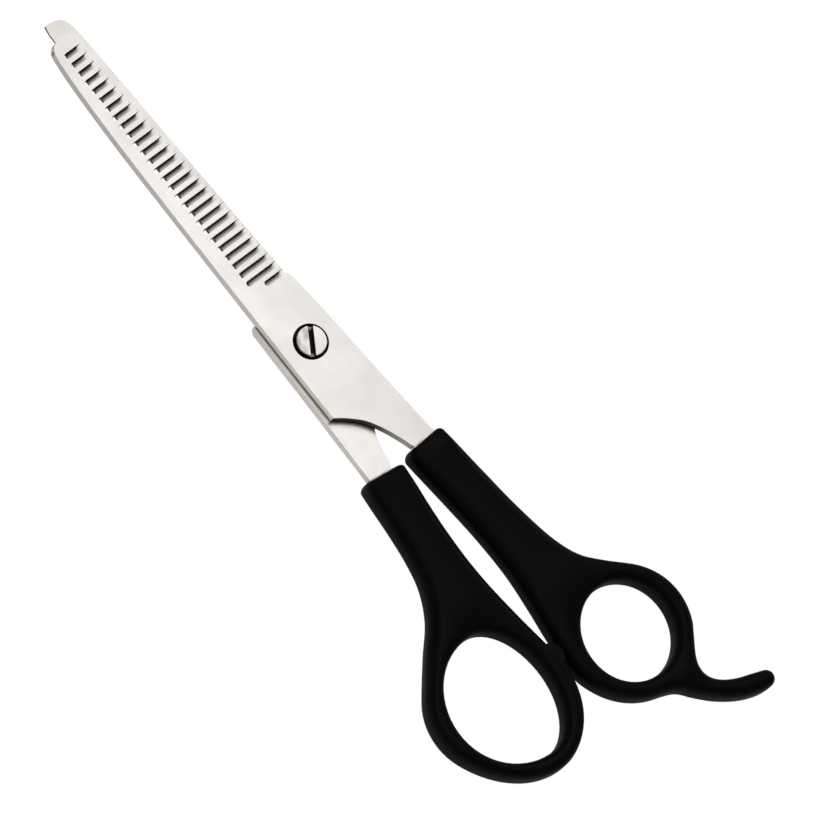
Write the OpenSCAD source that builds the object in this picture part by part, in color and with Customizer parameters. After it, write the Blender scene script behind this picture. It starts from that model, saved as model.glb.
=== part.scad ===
// Thinning shears: a toothed blade and a plain blade turning on one slotted screw,
// each with a steel tang moulded into a plastic handle.
// The origin is on the screw's axis, in the plane where the blades meet.
// +X runs to the blade tips, +Y to the thumb ring, and +Z out of the screw's head.

/* [Blades] */
// Thickness of each blade
blade_t = 2.4; // [2:0.1:2.8]
// Running gap between the blades' mating faces
ride_gap = 0.04; // [0.02:0.01:0.08]
// Distance from the pivot to the end of the toothed blade
toothed_len = 77.9; // [77:0.1:79]
// Distance from the pivot to the tip of the plain blade
plain_len = 81.8; // [80:0.1:84]
// Height of the upright land along the plain cutting edge
edge_land = 0.6; // [0.5:0.1:1.2]
// Width of the bevel under the plain cutting edge
bevel_w = 3.4; // [2:0.1:4]

/* [Teeth] */
// Number of full slots between the teeth
slots = 27; // [20:1:27]
// Distance from one slot to the next
slot_pitch = 2.219; // [2.1:0.001:2.22]
// Width of a slot
slot_w = 1.15; // [0.8:0.05:1.2]
// Distance from the pivot to the far wall of the first full slot
slot_start = 17.17; // [17:0.01:18]
// Lean of the slots back towards the handles, in degrees
slot_lean = 2.5; // [0:0.5:4]
// Depth of the V cut in the end of each tooth
notch_d = 0.45; // [0.2:0.05:0.6]

/* [Pivot] */
// Diameter of the screw's head
head_d = 6.2; // [5.6:0.05:6.4]
// Height of the head's edge
head_h = 1.85; // [1.4:0.05:2.1]
// Diameter of the round recess that the head sits in
recess_d = 7.45; // [6.9:0.05:7.6]
// Depth of that recess
recess_h = 1.35; // [1.2:0.05:1.5]
// Width of the screwdriver slot
driver_slot_w = 1.15; // [0.8:0.05:1.3]
// Depth of the screwdriver slot
driver_slot_h = 1.1; // [0.6:0.05:1.3]
// Direction of the screwdriver slot, in degrees from +X
driver_slot_angle = -35.5; // [-90:0.5:90]
// Diameter of the shoulder that the toothed blade turns on
shoulder_d = 5; // [4.4:0.1:5.2]
// Diameter of the threaded end in the plain blade
thread_d = 4; // [3:0.1:4.2]
// Radial clearance of the round parts that turn in each other
run_gap = 0.04; // [0.02:0.01:0.08]

/* [Handles] */
// Thickness of both handles
handle_t = 7.2; // [7:0.1:8.4]
// Height of the rounding at the handles' top and bottom edges
round_h = 2.4; // [1.6:0.1:2.6]
// Width of that rounding along the shanks
shank_round_w = 2.3; // [1.6:0.1:2.6]
// Width of that rounding round the rings and along the finger rest
ring_round_w = 1.35; // [1:0.05:1.4]
// Width of that rounding at the front ends
front_round_w = 0.7; // [0.4:0.1:0.9]

/* [Hidden] */
$fn = 48;
fit_gap = 0.02;     // play between moulded or pressed pieces and their pockets
over = 1;           // how far cutting tools run past the face they cut
steel = [0.78, 0.77, 0.75];
screw_steel = [0.7, 0.69, 0.67];
nylon = [0.85, 0.85, 0.82];
black_plastic = [0.12, 0.12, 0.13];
black_rubber = [0.07, 0.07, 0.07];

// ---- Curves ----

// A smooth curve through the points, which the first and last only steer
function spline(p, steps) = [
    for (i = [1:len(p) - 3], k = [0:steps - 1])
        let (t = k / steps)
        0.5 * (2 * p[i] + t * (p[i + 1] - p[i - 1])
            + t * t * (2 * p[i - 1] - 5 * p[i] + 4 * p[i + 1] - p[i + 2])
            + t * t * t * (3 * p[i] - p[i - 1] - 3 * p[i + 1] + p[i + 2]))
];

// A smooth curve through every point, straight off both ends
function curve(p, steps) = let (n = len(p) - 1)
    concat(spline(concat([2 * p[0] - p[1]], p, [2 * p[n] - p[n - 1]]), steps), [p[n]]);

function reversed(p) = [for (i = [len(p) - 1:-1:0]) p[i]];

function arc(centre, r, from, to, steps) = [
    for (k = [0:steps]) let (a = from + (to - from) * k / steps) centre + r * [cos(a), sin(a)]
];

// A point on an egg, which is given by its centre, its reach [back, forward] and
// [right, left] along its own axes, and the turn of those axes
function egg(e, a, grow = 0) =
    let (x = (e[1][cos(a) < 0 ? 0 : 1] + grow) * cos(a),
         y = (e[2][sin(a) < 0 ? 0 : 1] + grow) * sin(a))
    e[0] + [x * cos(e[3]) - y * sin(e[3]), x * sin(e[3]) + y * cos(e[3])];

function egg_arc(e, from, to, steps) = [
    for (k = [0:steps]) egg(e, from + (to - from) * k / steps)
];

// The way out of a closed anticlockwise outline at point i
function outward(p, i) = let (n = len(p), d = p[(i + 1) % n] - p[(i + n - 1) % n])
    [d[1], -d[0]] / norm(d);

// ---- Blades ----

// A neck is the narrow bar behind each blade, which goes on as a tang inside the handle
neck_half_w = 2.72;
neck_end = -29;      // where the necks enter the handles
blade_foot = -14.5;  // where the broad part of each blade begins
tang_taper = 0.75;   // the far end's share of the neck's width
lock_hole_d = 2.2;

// The tang, tapering from the neck to its round end
module tang(neck, end, grow = 0) {
    along = (end - neck) / norm(end - neck);
    across = [-along[1], along[0]] * (neck_half_w + grow);
    turn = atan2(along[1], along[0]);
    difference() {
        linear_extrude(blade_t - ride_gap / 2 + 2 * grow)
            polygon(concat(
                [neck - across],
                arc(end, tang_taper * neck_half_w + grow, turn - 90, turn + 90, 12),
                [neck + across]));
        // the plastic runs through these two holes and locks the tang in
        for (share = [0.45, 0.8])
            translate(concat(neck + share * (end - neck), -over))
                cylinder(d = lock_hole_d - 2 * grow, h = blade_t + 2 * over);
    }
}

// The room that a handle leaves for a tang, and for the neck where it enters
module tang_pocket(neck, end) {
    mouth_gap = 0.15;
    mouth_depth = 0.6;
    mouth_w = 2 * (neck_half_w + mouth_gap);
    tang(neck, end, fit_gap);
    translate(concat(neck, 0))
        rotate(atan2(neck[1] - end[1], neck[0] - end[0]))
            translate([-mouth_depth, -mouth_w / 2, 0])
                cube([mouth_depth + over, mouth_w, blade_t + fit_gap]);
}

toothed_neck = [neck_end, -5];
toothed_tang_end = [-55, -6.2];
plain_neck = [neck_end, 5.85];
plain_tang_end = [-53, 9.6];

toothed_spine = curve([
    [blade_foot, 6.9], [0, 6.4], [20, 5.6], [40, 4.75], [52, 4.2], [62, 3.55], [70, 2.85], [75, 2.2]
], 6);
toothed_cutout = curve([
    [neck_end, -2.3], [-26, -1.35], [-22.4, 0.1], [-19, 2], [-16.3, 4.6], [blade_foot, 6.9]
], 5);
toothed_foot = curve([
    [12.8, -5.95], [8, -6.3], [0, -6.65], [-15, -7.1], [-24, -7.45], [neck_end, -7.72]
], 4);
tip_line = [
    [toothed_len, -3.6], [68, -3.6], [57, -3.85], [50, -4.2], [40, -4.7], [28, -5.15], [14, -5.5]
];
tip_corner_r = 2.6;
tip_corner = [toothed_len - tip_corner_r, -0.5];
tooth_w = slot_pitch - slot_w;
full_slot_root = 2.6;    // how far the slot nearest the pivot reaches past the screw's axis
short_slot_root = -0.4;  // the same for the odd short slot behind it
root_drop = 2.05;        // how much less far a slot at the very tip would reach
root_bend = 1.85;        // how much of that drop comes late, where 1 would be a straight line
slot_len = 12;

// The slots reach less far towards the tip, as the blade gets narrower
function tooth_root(x) =
    full_slot_root - root_drop * pow((x - slot_start) / (toothed_len - slot_start), root_bend);

module slot_cutter(x, root) {
    translate([x - slot_w / 2, root - slot_w / 2, -over])
        rotate(-slot_lean) {
            cylinder(d = slot_w, h = blade_t + 2 * over);
            translate([-slot_w / 2, -slot_len, 0])
                cube([slot_w, slot_len, blade_t + 2 * over]);
        }
}

// The V in the end of the tooth whose middle is at x where the slots begin
module notch_cutter(x) {
    half_w = 0.6 * notch_d;
    lean_shift = 0.36;
    translate([x - lean_shift, lookup(x, tip_line), -over])
        linear_extrude(blade_t + 2 * over)
            polygon([[-half_w, 0], [-half_w, -over], [half_w, -over], [half_w, 0], [0, notch_d]]);
}

module toothed_blade() {
    color(steel)
    difference() {
        translate([0, 0, ride_gap / 2]) {
            linear_extrude(blade_t - ride_gap / 2)
                polygon(concat(
                    toothed_cutout,
                    toothed_spine,
                    arc(tip_corner, tip_corner_r, 80, 0, 9),
                    curve(tip_line, 6),
                    toothed_foot));
            tang(toothed_neck, toothed_tang_end);
        }
        for (i = [0:slots - 1])
            let (x = slot_start + i * slot_pitch)
            slot_cutter(x, tooth_root(x));
        slot_cutter(slot_start - slot_pitch, short_slot_root);
        for (i = [0:slots - 1])
            notch_cutter(slot_start + i * slot_pitch - slot_w - tooth_w / 2);
        translate([0, 0, -over])
            cylinder(d = shoulder_d + 2 * run_gap, h = blade_t + 2 * over);
        translate([0, 0, blade_t - recess_h])
            cylinder(d = recess_d, h = recess_h + over);
    }
}

plain_heel = curve([[neck_end, 8.6], [-20, 8.1], [-10, 7.56], [0, 7.1], [6, 6.78]], 5);
heel_corner = arc([8, 5], 1.7, 84, 0, 6);
edge_start = [12, 2.3];
edge_end = [plain_len, -0.75];
plain_edge = [edge_start, [17, 1.2], [30, 0.4], [50, -0.07], [70, -0.5], [plain_len - 2, -0.78]];
plain_tip = curve([
    [plain_len, -1.25], [plain_len - 0.1, -2.55], [plain_len - 0.65, -4.2], [plain_len - 1.7, -5.3],
    [plain_len - 4, -5.85]
], 4);
plain_spine = curve([[70, -6], [40, -6.1], [14, -6.25], [0, -6.4], [blade_foot, -6.5]], 4);
plain_cutout = curve([[-16.3, -4.2], [-18.6, -1.7], [-21, 0.5], [-24, 2], [neck_end, 3.1]], 4);

// A wedge under the plain cutting edge, which leaves the land and slopes to full thickness
module bevel_cutter() {
    run = edge_end - edge_start;
    drop = blade_t - edge_land + over;
    reach = bevel_w * drop / (blade_t - edge_land);
    clear = 3;
    translate(concat(edge_start, -edge_land))
        rotate([0, 0, atan2(run[1], run[0])])
            rotate([0, 90, 0])
                linear_extrude(norm(run) + over)
                    polygon([[0, 0], [0, clear], [drop, clear], [drop, -reach]]);
}

module plain_blade() {
    color(steel)
    difference() {
        translate([0, 0, -blade_t]) {
            linear_extrude(blade_t - ride_gap / 2)
                polygon(concat(
                    reversed(plain_cutout),
                    reversed(plain_spine),
                    reversed(plain_tip),
                    reversed(plain_edge),
                    reversed(heel_corner),
                    reversed(plain_heel)));
            tang(plain_neck, plain_tang_end);
        }
        bevel_cutter();
        translate([0, 0, -blade_t - over])
            cylinder(d = thread_d + 2 * run_gap, h = blade_t + 2 * over);
    }
}

// ---- Pivot ----

washer_t = 0.3;
washer_d = head_d - 0.2;
thread_inset = 0.1;                       // how far the thread's end sits inside the plain blade
seat_z = blade_t - recess_h;              // floor of the recess
head_z = seat_z + washer_t + 2 * fit_gap; // underside of the screw's head
dome_h = 0.05;                            // rise of the head's domed face
rim = 0.08;                               // chamfer round the head's rim
dome_r = (head_d * head_d / 4 + dome_h * dome_h) / (2 * dome_h);

module pivot_screw() {
    color(screw_steel)
    difference() {
        union() {
            intersection() {
                translate([0, 0, head_z])
                    cylinder(d = head_d, h = head_h + dome_h);
                translate([0, 0, head_z])
                    cylinder(
                        d1 = head_d + 2 * (head_h - rim),
                        d2 = head_d - 2 * (rim + dome_h),
                        h = head_h + dome_h);
                translate([0, 0, head_z + head_h + dome_h - dome_r])
                    sphere(r = dome_r, $fn = 180);
            }
            translate([0, 0, ride_gap])
                cylinder(d = shoulder_d, h = head_z - ride_gap);
            translate([0, 0, thread_inset - blade_t])
                cylinder(d = thread_d, h = blade_t);
        }
        rotate(driver_slot_angle)
            translate([-head_d, -driver_slot_w / 2, head_z + head_h + dome_h - driver_slot_h])
                cube([2 * head_d, driver_slot_w, driver_slot_h + over]);
    }
}

module screw_washer() {
    color(nylon)
    translate([0, 0, seat_z + fit_gap])
        difference() {
            cylinder(d = washer_d, h = washer_t);
            translate([0, 0, -over])
                cylinder(d = shoulder_d + 2 * run_gap, h = washer_t + 2 * over);
        }
}

// ---- Handles ----

round_steps = 4;
shank_steps = 5;
rest_steps = 4;
ring_steps = 30;

// One edge of a handle's section, from its middle height to its flat face:
// [share of the rounding's width, height]
round_levels = [
    for (k = [0:round_steps])
        let (a = 90 * k / round_steps)
        [1 - cos(a), handle_t / 2 - round_h * (1 - sin(a))]
];
section_levels = concat(
    [for (k = [round_steps:-1:0]) [round_levels[k][0], -round_levels[k][1]]],
    round_levels);

// A plate with rounded edges between two sides that run from front to back.
// Both sides hold as many points, and widths gives the rounding's width at each.
module rounded_plate(left, right, widths) {
    n = len(left);
    loop = concat(left, reversed(right));
    width = concat(widths, reversed(widths));
    m = 2 * n;
    last = len(section_levels) - 1;
    points = [
        for (level = section_levels, i = [0:m - 1])
            let (p = loop[i] - outward(loop, i) * width[i] * level[0])
            [p[0], p[1], level[1]]
    ];
    walls = [
        for (j = [0:last - 1], i = [0:m - 1])
            let (a = j * m + i, b = j * m + (i + 1) % m)
            each [[a, b + m, b], [a, a + m, b + m]]
    ];
    caps = [
        for (i = [0:n - 2])
            let (a = i, b = i + 1, c = m - 2 - i, d = m - 1 - i, top = last * m)
            each [[a, b, c], [a, c, d], [top + a, top + c, top + b], [top + a, top + d, top + c]]
    ];
    polyhedron(points, concat(walls, caps));
}

// The cutter for a ring's opening, flaring out at both faces as the plastic's edge rounds off
module ring_cutter(e) {
    m = 2 * ring_steps;
    levels = concat(
        [[1, -handle_t / 2 - over]], section_levels, [[1, handle_t / 2 + over]]);
    last = len(levels) - 1;
    points = [
        for (level = levels, i = [0:m - 1])
            let (p = egg(e, 360 * i / m, ring_round_w * level[0]))
            [p[0], p[1], level[1]]
    ];
    walls = [
        for (j = [0:last - 1], i = [0:m - 1])
            let (a = j * m + i, b = j * m + (i + 1) % m)
            each [[a, b + m, b], [a, a + m, b + m]]
    ];
    bottom = [for (i = [0:m - 1]) i];
    top = [for (i = [m - 1:-1:0]) last * m + i];
    polyhedron(points, concat(walls, [bottom, top]));
}

finger_hole = [[-84.15, -11.9], [10.45, 10.45], [9.65, 9.65], -17];
finger_ring = [[-84.65, -10.6], [14.2, 15], [15.2, 12.35], 26];
thumb_hole = [[-79.1, 16.1], [13.6, 14.3], [9.05, 13.45], -5];
thumb_ring = [[-78.2, 19.7], [18.75, 14.2], [16.5, 13.8], 20];
rest_tip = [-109, -27.78];
rest_tip_r = 1.85;
front_corner_r = 1.3;

// Left of the finger handle, going back: the side next to the thumb handle, then the back of
// the ring, then the outside of the finger rest
finger_left = concat(
    arc([-30.9, -2.1], 1.8, 15, 80, 4),
    spline([
        [-28, -0.1], [-33, -0.3], [-42, -0.75], [-51, -1.08], [-60, -0.85], [-68, 0.15],
        [-76, 1.45], egg(finger_ring, 66), egg(finger_ring, 80)
    ], shank_steps),
    egg_arc(finger_ring, 66, 138, ring_steps - 1),
    spline([
        egg(finger_ring, 138), [-98.5, -9.8], [-99.9, -12.4], [-102.65, -14.6], [-105.8, -17.5],
        [-108.5, -21], [-110.2, -24.45], [-110.85, -27.55], [-110.7, -29.4]
    ], rest_steps),
    arc(rest_tip, rest_tip_r, 175, 250, 5));

// Right of the finger handle, going back: the outer side, then the ring, then the inside of
// the finger rest
finger_right = concat(
    arc([-30.35, -8.3], front_corner_r, 0, -80, 4),
    spline([
        [-28, -9.6], [-33, -9.92], [-42, -10.5], [-51, -11.15], [-60, -12.4], [-66, -14.4],
        [-70.2, -17.7], egg(finger_ring, -72), egg(finger_ring, -85)
    ], shank_steps),
    egg_arc(finger_ring, -72, -145, ring_steps - 1),
    spline([
        egg(finger_ring, -145), [-93.85, -21.55], [-96.6, -19.5], [-99, -18.5], [-101.3, -18.75],
        [-103.4, -20.4], [-105.1, -23.1], [-106.3, -26.1], [-107.2, -28.4]
    ], rest_steps),
    arc(rest_tip, rest_tip_r, -22, -109, 5));

// Left of the thumb handle, going back: the outer side, then the ring
thumb_left = concat(
    arc([-29.9, 9.85], front_corner_r, 5, 80, 4),
    spline([
        [-28, 11.1], [-33, 11.75], [-40, 12.65], [-46, 13.7], [-51.5, 15.35], [-57, 18.7],
        [-62.1, 23.9], egg(thumb_ring, 30), egg(thumb_ring, 45)
    ], shank_steps),
    egg_arc(thumb_ring, 30, 163, ring_steps));

// Right of the thumb handle, going back: the side next to the finger handle, then the ring
thumb_right = concat(
    arc([-31, 3.15], front_corner_r, -8, -80, 4),
    spline([
        [-28, 1.5], [-34, 2.1], [-40, 3], [-46, 3.75], [-53, 4.28], [-60, 4.3], [-69, 3.75],
        egg(thumb_ring, -110), egg(thumb_ring, -125)
    ], shank_steps),
    egg_arc(thumb_ring, -110, -195, ring_steps));

// The rounding's width at each point of a side: crisp at the front end, broad along the
// shank, and narrower round the ring
function rounding(side) = [
    for (p = side)
        lookup(-p[0], [[29, front_round_w], [33, 0.7 * shank_round_w], [40, shank_round_w],
                       [60, shank_round_w], [72, ring_round_w]])
];

module finger_handle() {
    color(black_plastic)
    difference() {
        rounded_plate(finger_left, finger_right, rounding(finger_left));
        ring_cutter(finger_hole);
        translate([0, 0, ride_gap / 2 - fit_gap])
            tang_pocket(toothed_neck, toothed_tang_end);
    }
}

bumper_at = [-78.3, 4.6];
bumper_r = 2.8;
bumper_h = 6.2;
bumper_back = 3.8;   // the flat side, set into the thumb ring
stem_r = 1;
stem_len = 1.8;

// The rounded stop and its stem, grown for the pocket that holds it
module bumper_solid(grow = 0) {
    height = bumper_h + 2 * grow;
    side = 4 * bumper_r;
    intersection() {
        translate(concat(bumper_at, -height / 2))
            cylinder(r = bumper_r + grow, h = height);
        translate([bumper_at[0] - side / 2, bumper_back + grow - side, -height])
            cube([side, side, 2 * height]);
    }
    translate([bumper_at[0], bumper_back + stem_len + grow, 0])
        rotate([90, 0, 0])
            cylinder(r = stem_r + grow, h = stem_len + over);
}

module thumb_handle() {
    color(black_plastic)
    difference() {
        rounded_plate(thumb_left, thumb_right, rounding(thumb_left));
        ring_cutter(thumb_hole);
        translate([0, 0, -blade_t - fit_gap])
            tang_pocket(plain_neck, plain_tang_end);
        bumper_solid(fit_gap);
    }
}

module stop_bumper() {
    color(black_rubber)
    bumper_solid();
}

toothed_blade();
plain_blade();
pivot_screw();
screw_washer();
finger_handle();
thumb_handle();
stop_bumper();
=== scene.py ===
"""Thinning shears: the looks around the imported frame."""

import math

import bpy
from mathutils import Matrix, Vector

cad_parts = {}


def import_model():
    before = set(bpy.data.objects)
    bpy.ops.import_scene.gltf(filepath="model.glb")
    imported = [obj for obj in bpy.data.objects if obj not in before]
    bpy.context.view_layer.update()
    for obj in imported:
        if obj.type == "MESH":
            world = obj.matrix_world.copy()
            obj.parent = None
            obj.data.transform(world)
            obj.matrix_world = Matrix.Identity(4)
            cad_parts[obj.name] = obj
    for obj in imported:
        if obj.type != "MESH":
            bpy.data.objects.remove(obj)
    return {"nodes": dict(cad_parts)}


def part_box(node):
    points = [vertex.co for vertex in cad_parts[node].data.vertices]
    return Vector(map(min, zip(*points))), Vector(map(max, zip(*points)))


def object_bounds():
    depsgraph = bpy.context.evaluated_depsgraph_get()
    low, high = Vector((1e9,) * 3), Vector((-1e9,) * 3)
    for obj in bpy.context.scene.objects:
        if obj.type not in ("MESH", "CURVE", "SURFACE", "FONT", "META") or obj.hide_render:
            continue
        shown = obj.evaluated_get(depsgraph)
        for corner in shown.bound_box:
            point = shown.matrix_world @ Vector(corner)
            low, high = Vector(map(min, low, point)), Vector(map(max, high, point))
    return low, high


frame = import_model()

CAD_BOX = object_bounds()
MM = 0.001
MICRON = 0.000001

# ---- Places on the shears ----

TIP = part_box("toothed_blade")[1].x
PLAIN_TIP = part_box("plain_blade")[1].x
BLADE_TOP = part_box("toothed_blade")[1].z
HEAD_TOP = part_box("pivot_screw")[1].z
SLOTS_START = 13 * MM
SLOTS_END = TIP - 1.2 * MM
EDGE_START = 12 * MM                                      # where the cutting edges start
EDGE_RAMP = (EDGE_START - 4 * MM, EDGE_START)             # where the dark of the corners changes
RECESS_R = 3.9 * MM                                       # just past the recess's wall
TOP_SKIN = 0.05 * MM                                      # no deeper than this is still the top face
HEAD_LIT = (2.3 * MM, 2.8 * MM)                           # the ends of the head's slot, where painted light comes in
HEAD_RIM = (HEAD_TOP - 0.55 * MM, HEAD_TOP - 0.3 * MM)    # below this the head's side is painted black with shade
SLOT_RIM = 0.16 * MM                                      # width of the painted rim of shade round the slots
SOFT_EDGE = 0.06 * MM                                     # rounding of every steel edge, to the eye only

# ---- Colours and shine ----

STEEL = (0.85, 0.82, 0.785)
# a lighter copy of STEEL: painted light on the plain blade's neck, which its painted fades dim further along
PLAIN_STEEL = (0.91, 0.88, 0.84)
SCREW_STEEL = (0.92, 0.89, 0.86)
# painted shade for walls that face away from the key light and for the plain blade's edge land
WALL_SHADE = (0.125, 0.108, 0.094)
# painted black that stands in for deep shade in the slots, the recess, the screw's side and the corners
SHADE_BLACK = (0.01, 0.009, 0.008)
# painted shade for one half of the screw's head
HEAD_HALF_SHADE = (0.42, 0.37, 0.32)
WHITE = (1, 1, 1)
STUDIO_GREY = (0.8, 0.8, 0.8)
PLASTIC_SHINE = (0.045, 0.016)    # face on, and where it turns away


def scaled(values, share):
    return tuple(share * value for value in values)


# ---- How fine each texture is, in features a metre ----

STEEL_GRAIN = 9000
STEEL_STREAKS = 2500
STEEL_CLOUDS = 160
SMUDGE_PATCHES = 420
PLASTIC_GRAIN = 5200
PLASTIC_PATCHES = 70

# ---- Node helpers ----

class Nodes:
    """A node tree under construction: short calls that add nodes and wire them."""

    def __init__(self, tree, output):
        self.tree = tree
        self.tree.nodes.clear()
        self.output = self.tree.nodes.new(output)

    def node(self, kind, inputs=None, **settings):
        made = self.tree.nodes.new(kind)
        for key, value in settings.items():
            setattr(made, key, value)
        for key, value in (inputs or {}).items():
            self.feed(made.inputs[key], value)
        return made

    def feed(self, socket, value):
        if isinstance(value, bpy.types.NodeSocket):
            self.tree.links.new(value, socket)
        elif isinstance(value, tuple) and len(value) == 3 and socket.type == "RGBA":
            socket.default_value = (*value, 1.0)
        else:
            socket.default_value = value

    def split(self, vector):
        return self.node("ShaderNodeSeparateXYZ", {"Vector": vector}).outputs

    def spread(self, value, low, high, start=0.0, end=1.0):
        """Maps value from start..end to low..high."""
        made = self.node("ShaderNodeMapRange", {
            "Value": value, "From Min": start, "From Max": end, "To Min": low, "To Max": high,
        })
        return made.outputs["Result"]

    def mix(self, factor, a, b, blend="MIX"):
        made = self.node("ShaderNodeMix", data_type="RGBA", blend_type=blend)
        self.feed(made.inputs[0], factor)
        self.feed(made.inputs[6], a)
        self.feed(made.inputs[7], b)
        return made.outputs[2]

    def math(self, operation, a, b=0.0):
        made = self.node("ShaderNodeMath", operation=operation)
        self.feed(made.inputs[0], a)
        self.feed(made.inputs[1], b)
        return made.outputs[0]

    def either(self, factor, a, b):
        """The surface a where factor is 0 and the surface b where it is 1."""
        made = self.node("ShaderNodeMixShader")
        self.feed(made.inputs[0], factor)
        self.feed(made.inputs[1], a)
        self.feed(made.inputs[2], b)
        return made.outputs[0]

    def both(self, a, b):
        """The light of both surfaces together."""
        made = self.node("ShaderNodeAddShader")
        self.feed(made.inputs[0], a)
        self.feed(made.inputs[1], b)
        return made.outputs[0]

    def finish(self, surface):
        self.tree.links.new(surface, self.output.inputs["Surface"])


class Shader(Nodes):
    """A material under construction, which knows each point's place and its face's direction."""

    def __init__(self, name):
        self.material = bpy.data.materials.new(name)
        self.material.use_nodes = True
        super().__init__(self.material.node_tree, "ShaderNodeOutputMaterial")
        coordinates = self.node("ShaderNodeTexCoord").outputs
        self.place = coordinates["Object"]
        self.x, self.y, self.z = self.split(self.place)
        self.face_x, self.face_y, self.face_z = self.split(coordinates["Normal"])

    def noise(self, scale, stretch=(1, 1, 1), detail=2.0):
        """Noise with this many features a metre, stretched along the object's axes."""
        mapped = self.node("ShaderNodeMapping", {
            "Vector": self.place, "Scale": scaled(stretch, scale),
        })
        made = self.node("ShaderNodeTexNoise", {
            "Vector": mapped.outputs["Vector"], "Scale": 1.0, "Detail": detail,
        })
        return made.outputs["Fac"]

    def turned(self, vector, kind, start, end):
        """The vector, taken from the start space to the end space."""
        made = self.node("ShaderNodeVectorTransform", {"Vector": vector},
                         vector_type=kind, convert_from=start, convert_to=end)
        return made.outputs["Vector"]

    def bevel(self, radius, samples):
        """The normal as if each edge were rounded by this radius."""
        return self.node("ShaderNodeBevel", {"Radius": radius}, samples=samples).outputs["Normal"]

    def bump(self, height, depth, strength, below=None):
        """A normal from a height of 0..1 that stands for this depth in metres."""
        inputs = {"Height": height, "Distance": depth, "Strength": strength}
        if below is not None:
            inputs["Normal"] = below
        return self.node("ShaderNodeBump", inputs).outputs["Normal"]


# ---- Painted shade and light on the steel ----
# Each mark of painted shade or light takes the tone so far and gives back the tone with itself on it. It
# comes in between a start and an end of the face's direction, or of the place, up to its full share.

BLACKEST = (0.48, 0.36)    # how open a black corner is, behind the cutting edges and along them
CLEAR = 0.8                # how open a surface is that shows no dark at all


def shade_back_walls(s, tone):
    """Painted shade on the walls that face the handles, away from the key light."""
    return s.mix(s.spread(s.face_x, 0, 0.93, start=-0.2, end=-0.45), tone, WALL_SHADE)


def among_slots(s):
    """1 along the slotted stretch of the blade and 0 elsewhere."""
    return s.math("MULTIPLY", s.math("GREATER_THAN", s.x, SLOTS_START), s.math("LESS_THAN", s.x, SLOTS_END))


def shade_slot_walls(s, tone):
    """Painted shade on the walls of the slots between the teeth, darker still."""
    facing = s.math("MULTIPLY", among_slots(s), s.math("ABSOLUTE", s.face_x))
    return s.mix(s.spread(facing, 0, 0.97, start=0.25, end=0.6), tone, SHADE_BLACK)


def shade_slot_rims(s, tone):
    """A painted rim of shade where the slots' walls on the tip's side break through the top face."""
    edge_x = s.split(s.turned(s.bevel(SLOT_RIM, samples=8), "NORMAL", "WORLD", "OBJECT"))["X"]
    rim = s.spread(edge_x, 0, 0.9, start=-0.08, end=-0.4)
    return s.mix(s.math("MULTIPLY", among_slots(s), rim), tone, SHADE_BLACK)


def from_axis(s):
    """How far from the pivot's axis."""
    return s.math("SQRT", s.math("ADD", s.math("MULTIPLY", s.x, s.x), s.math("MULTIPLY", s.y, s.y)))


def recess(s, tone):
    """Painted shade on the wall and floor of the round recess under the screw's head."""
    near = s.math("LESS_THAN", from_axis(s), RECESS_R)
    below = s.math("LESS_THAN", s.z, BLADE_TOP - TOP_SKIN)
    return s.mix(s.math("MULTIPLY", near, below), tone, SHADE_BLACK)


def shade_head_side(s, tone):
    """Painted shade on the screw's side and slot, below the rim of its head, with painted light at the
    slot's ends.
    """
    end = s.math("MULTIPLY", s.spread(from_axis(s), 0, 0.25, *HEAD_LIT), s.face_z)
    return s.mix(s.spread(s.z, 1, 0, *HEAD_RIM), tone, s.mix(end, SHADE_BLACK, STEEL))


def shade_head_half(s, tone):
    """Painted shade, in faint brown patches, on the half of the screw's head that lies towards +X and +Y."""
    half = s.spread(s.math("ADD", s.x, s.y), 0, 1, start=-0.5 * MM, end=1.5 * MM)
    patch = s.spread(s.noise(SMUDGE_PATCHES, detail=3), 0.35, 0.9, start=0.38, end=0.54)
    return s.mix(s.math("MULTIPLY", half, patch), tone, HEAD_HALF_SHADE)


def shade_edge_land(s, tone):
    """Painted shade on the upright land along the plain blade's cutting edge."""
    facing = s.math("MULTIPLY", s.math("GREATER_THAN", s.x, EDGE_START), s.face_y)
    return s.mix(s.spread(facing, 0, 0.9, start=0.4, end=0.8), tone, WALL_SHADE)


def painted_fade(axis, near, far, share):
    """Paints shade: dims the tone to this share of itself from one place on the axis to the other."""
    return lambda s, tone: s.mix(
        s.spread(getattr(s, axis), 0, 1, near, far), tone, scaled(WHITE, share), "MULTIPLY")


def shade_corners(s, tone, reach, lean):
    """The dark of the corners, which reaches as far as reach's first value behind the cutting
    edges and its second along them. A lean above 0 moves the dark along the cutting edge
    towards the walls on the tip's side."""
    tilt = s.node("ShaderNodeCombineXYZ", {"X": s.spread(s.x, 0, lean, *EDGE_RAMP)}).outputs["Vector"]
    normal = s.node("ShaderNodeNewGeometry").outputs["Normal"]
    leaning = s.node("ShaderNodeVectorMath", {0: normal, 1: tilt}, operation="ADD").outputs["Vector"]
    openness = s.node("ShaderNodeAmbientOcclusion", {
        "Distance": s.spread(s.x, *reach, *EDGE_RAMP), "Normal": leaning,
    }, samples=8).outputs["AO"]
    blackest = s.spread(s.x, *BLACKEST, *EDGE_RAMP)
    return s.mix(s.spread(openness, 0, 1, start=blackest, end=CLEAR), SHADE_BLACK, tone)


# ---- Materials ----

def all_metal(s):
    """Metal all over."""
    return 1.0


def worn_rim(s):
    """The screw's head is scuffed on its chamfer, and shines like metal only on its face."""
    return s.spread(s.face_z, 0.2, 1, start=0.8, end=0.95)


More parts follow.
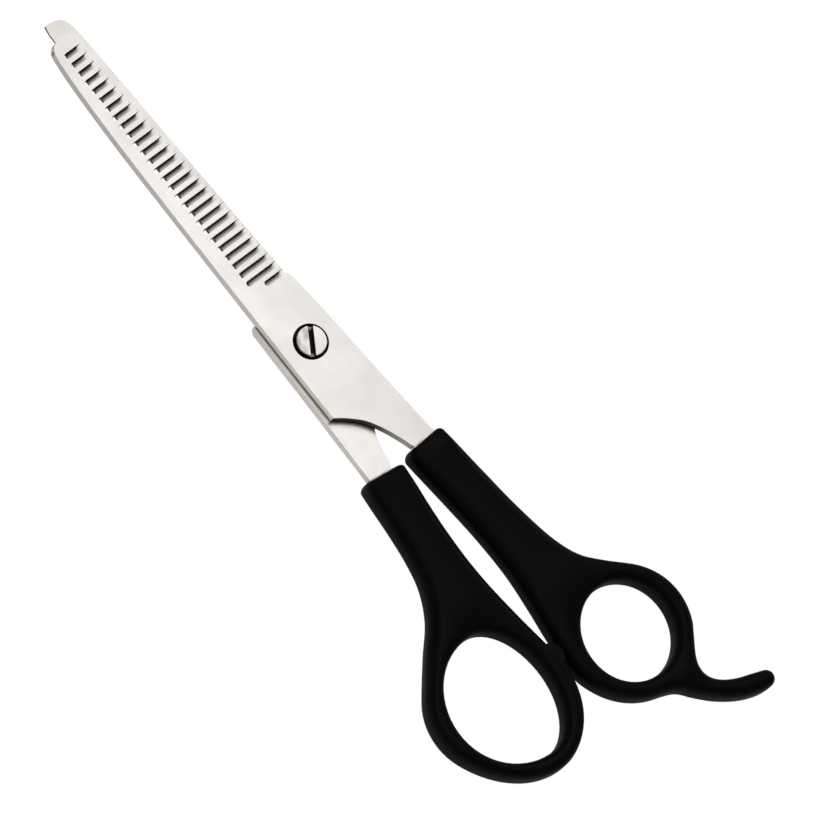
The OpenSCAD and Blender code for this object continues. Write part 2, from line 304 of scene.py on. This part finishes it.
def brushed_steel(name, colour, roughness, marks, streak=1.0, reach=(0.4 * MM, 0.3 * MM), lean=0.0,
                  metal=all_metal):
    """Satin steel, ground along the blade, with faint clouding. Marks of painted shade and light change its
    tone in turn, and the painted shade of its corners comes last."""
    s = Shader(name)
    grain = s.noise(STEEL_GRAIN, stretch=(0.02, 1, 1), detail=3)
    coarse = s.noise(STEEL_STREAKS, stretch=(0.03, 1, 1))
    cloud = s.noise(STEEL_CLOUDS, detail=3)
    streaks = s.spread(s.face_z, 0.7, 0.35 * streak, start=0.3, end=0.8)
    tone = s.mix(s.spread(cloud, 0, 1, start=0.35, end=0.65), colour, scaled(colour, 0.94))
    tone = s.mix(s.spread(coarse, 0, streaks, start=0.4, end=0.7), tone, scaled(colour, 0.9))
    for mark in marks:
        tone = mark(s, tone)
    tone = shade_corners(s, tone, reach, lean)
    rough = s.math("ADD", s.spread(grain, roughness - 0.05, roughness + 0.06), s.spread(cloud, -0.03, 0.03))
    normal = s.bump(grain, 2 * MICRON, 0.35 * streak, below=s.bevel(SOFT_EDGE, samples=4))
    normal = s.bump(coarse, 3 * MICRON, 0.2 * streak, below=normal)
    bsdf = s.node("ShaderNodeBsdfPrincipled", {
        "Base Color": tone, "Metallic": metal(s), "Roughness": rough, "Normal": normal,
        "Anisotropic": 0.45, "Tangent": s.turned((1.0, 0.0, 0.0), "VECTOR", "OBJECT", "WORLD"),
        "Specular Tint": s.mix(0.6, WHITE, tone),    # keeps the painted shade dark at a slant
    })
    s.finish(bsdf.outputs["BSDF"])
    return s.material


def moulded_plastic(name, colour, roughness):
    """Satin plastic with a fine moulded grain, less shiny where it turns away."""
    s = Shader(name)
    grain = s.noise(PLASTIC_GRAIN)
    patch = s.noise(PLASTIC_PATCHES, detail=3)
    tone = s.mix(patch, colour, scaled(colour, 1.35))
    rough = s.math("ADD", s.spread(patch, roughness - 0.04, roughness + 0.04), s.spread(grain, -0.05, 0.05))
    facing = s.node("ShaderNodeLayerWeight", {"Blend": 0.5}).outputs["Facing"]
    bsdf = s.node("ShaderNodeBsdfPrincipled", {
        "Base Color": tone, "Roughness": rough, "Normal": s.bump(grain, 8 * MICRON, 0.5),
        "Specular IOR Level": s.spread(facing, *PLASTIC_SHINE, start=0.1, end=0.6),
    })
    s.finish(bsdf.outputs["BSDF"])
    return s.material


TOOTHED = brushed_steel("toothed_steel", STEEL, 0.3, [
    painted_fade("x", 15 * MM, TIP, 0.85), painted_fade("y", 5 * MM, -6 * MM, 0.95), shade_back_walls, shade_slot_walls, shade_slot_rims, recess,
])
PLAIN = brushed_steel("plain_steel", PLAIN_STEEL, 0.3, [
    painted_fade("x", 5 * MM, 30 * MM, 0.78), painted_fade("x", PLAIN_TIP - 12 * MM, PLAIN_TIP, 0.9), shade_back_walls, shade_edge_land,
], reach=(0.9 * MM, 1.25 * MM), lean=0.7)
SCREW = brushed_steel("screw_steel", SCREW_STEEL, 0.32, [shade_head_half, shade_head_side], streak=0.4, metal=worn_rim)
PLASTIC = moulded_plastic("handle_plastic", (0.0026, 0.0024, 0.0024), 0.38)
RUBBER = moulded_plastic("bumper_rubber", (0.006, 0.006, 0.006), 0.6)
NYLON = moulded_plastic("washer_nylon", (0.8, 0.8, 0.76), 0.4)

LOOKS = {
    "toothed_blade": TOOTHED, "plain_blade": PLAIN, "pivot_screw": SCREW, "screw_washer": NYLON,
    "finger_handle": PLASTIC, "thumb_handle": PLASTIC, "stop_bumper": RUBBER,
}
SAME_POINT = 2 * MICRON              # corners closer than this are one
CREASE_ANGLE = math.radians(32)      # edges sharper than this stay crisp


def dress(node, look):
    """Gives a CAD node its material, joins its split corners and keeps its real edges crisp."""
    piece = frame["nodes"][node]
    piece.data.materials.clear()
    piece.data.materials.append(look)
    for face in piece.data.polygons:
        face.use_smooth = True
        face.material_index = 0
    weld = piece.modifiers.new("weld", "WELD")
    weld.merge_threshold = SAME_POINT
    crease = piece.modifiers.new("crease", "EDGE_SPLIT")
    crease.split_angle = CREASE_ANGLE


for node, look in LOOKS.items():
    dress(node, look)

# ---- Stage ----

FLOOR_HALF = 6.0                 # half its side, in metres
FLOOR_Z = CAD_BOX[0].z - 0.02 * MM
STUDIO_HEIGHTS = (0.35, 0.75)    # between which its glow changes, where 1 is overhead
STUDIO_GLOW = (0.5, 0.12)        # below them and above them


def pale_floor():
    """White to the camera, pale card to the object, and clear from below."""
    s = Shader("pale_floor")
    path = s.node("ShaderNodeLightPath")
    card = s.node("ShaderNodeBsdfDiffuse", {"Color": (0.8, 0.8, 0.79)})
    card_glow = s.node("ShaderNodeEmission", {"Color": WHITE, "Strength": 0.28})
    shadow = s.node("ShaderNodeBsdfDiffuse", {"Color": (0.08, 0.08, 0.08)})
    white_glow = s.node("ShaderNodeEmission", {"Color": WHITE, "Strength": 0.98})
    above = s.either(path.outputs["Is Camera Ray"],
                     s.both(card.outputs[0], card_glow.outputs[0]),
                     s.both(white_glow.outputs[0], shadow.outputs[0]))
    below = s.node("ShaderNodeBsdfTransparent").outputs[0]
    s.finish(s.either(s.node("ShaderNodeNewGeometry").outputs["Backfacing"], above, below))
    return s.material


def floor():
    mesh = bpy.data.meshes.new("floor")
    low, high = -FLOOR_HALF, FLOOR_HALF
    corners = [(low, low, 0), (high, low, 0), (high, high, 0), (low, high, 0)]
    mesh.from_pydata(corners, [], [(0, 1, 2, 3)])
    mesh.materials.append(pale_floor())
    plane = bpy.data.objects.new("floor", mesh)
    plane.location.z = FLOOR_Z
    bpy.context.scene.collection.objects.link(plane)


def area_light(name, place, size, power):
    """A soft light that points at the pivot."""
    light = bpy.data.lights.new(name, "AREA")
    light.shape = "RECTANGLE"
    light.size, light.size_y = size
    light.energy = power
    lamp = bpy.data.objects.new(name, light)
    lamp.location = place
    lamp.rotation_mode = "QUATERNION"
    lamp.rotation_quaternion = (-Vector(place)).to_track_quat("-Z", "Y")
    bpy.context.scene.collection.objects.link(lamp)


def world():
    """White to the camera, and to the object a studio: pale low down and dim overhead."""
    made = bpy.data.worlds.new("studio")
    made.use_nodes = True
    s = Nodes(made.node_tree, "ShaderNodeOutputWorld")
    height = s.split(s.node("ShaderNodeTexCoord").outputs["Generated"])["Z"]
    glow = s.spread(height, *STUDIO_GLOW, *STUDIO_HEIGHTS)
    studio = s.node("ShaderNodeBackground", {"Color": STUDIO_GREY, "Strength": glow}).outputs[0]
    white = s.node("ShaderNodeBackground", {"Color": WHITE}).outputs[0]
    s.finish(s.either(s.node("ShaderNodeLightPath").outputs["Is Camera Ray"], studio, white))
    bpy.context.scene.world = made


floor()
world()
area_light("overhead", place=(0.93, -1.2, 3.0), size=(1.55, 3.0), power=25.5)
area_light("fill", place=(0.1, 0.2, 1.5), size=(2.4, 2.4), power=1.8)
area_light("side", place=(0, -3.0, 0.8), size=(3.0, 2.0), power=24)
area_light("behind the camera", place=(0, 1.12, 2.78), size=(1.2, 1.2), power=5.5)

# ---- Camera ----

TILT = math.radians(22)        # of the view from straight down
TOWARDS = math.radians(94.4)   # the way to the camera over the ground, from +X
ROLL = math.radians(224.4)     # where that way points in the picture, from its right
TARGET = Vector((-23.2, -6.7, 2.4)) * MM
DISTANCE = 2.5
FIELD = 0.1626                 # width of the view at the target
SENSOR = 36.0                  # width of the camera's sensor, in millimetres
CLIP = (0.01, 50)              # nothing nearer or farther is drawn


def camera():
    over = Vector((math.cos(TOWARDS), math.sin(TOWARDS), 0))
    back = over * math.sin(TILT) + Vector((0, 0, math.cos(TILT)))
    near = over * math.cos(TILT) - Vector((0, 0, math.sin(TILT)))
    side = back.cross(near)
    right = near * math.cos(ROLL) - side * math.sin(ROLL)
    up = near * math.sin(ROLL) + side * math.cos(ROLL)
    lens = bpy.data.cameras.new("camera")
    lens.sensor_width = SENSOR
    lens.lens = SENSOR * DISTANCE / FIELD
    lens.clip_start, lens.clip_end = CLIP
    rig = bpy.data.objects.new("camera", lens)
    rig.matrix_world = Matrix((right, up, back)).transposed().to_4x4()
    rig.location = TARGET + back * DISTANCE
    bpy.context.scene.collection.objects.link(rig)
    bpy.context.scene.camera = rig


camera()
bpy.context.scene.view_settings.view_transform = "Standard"
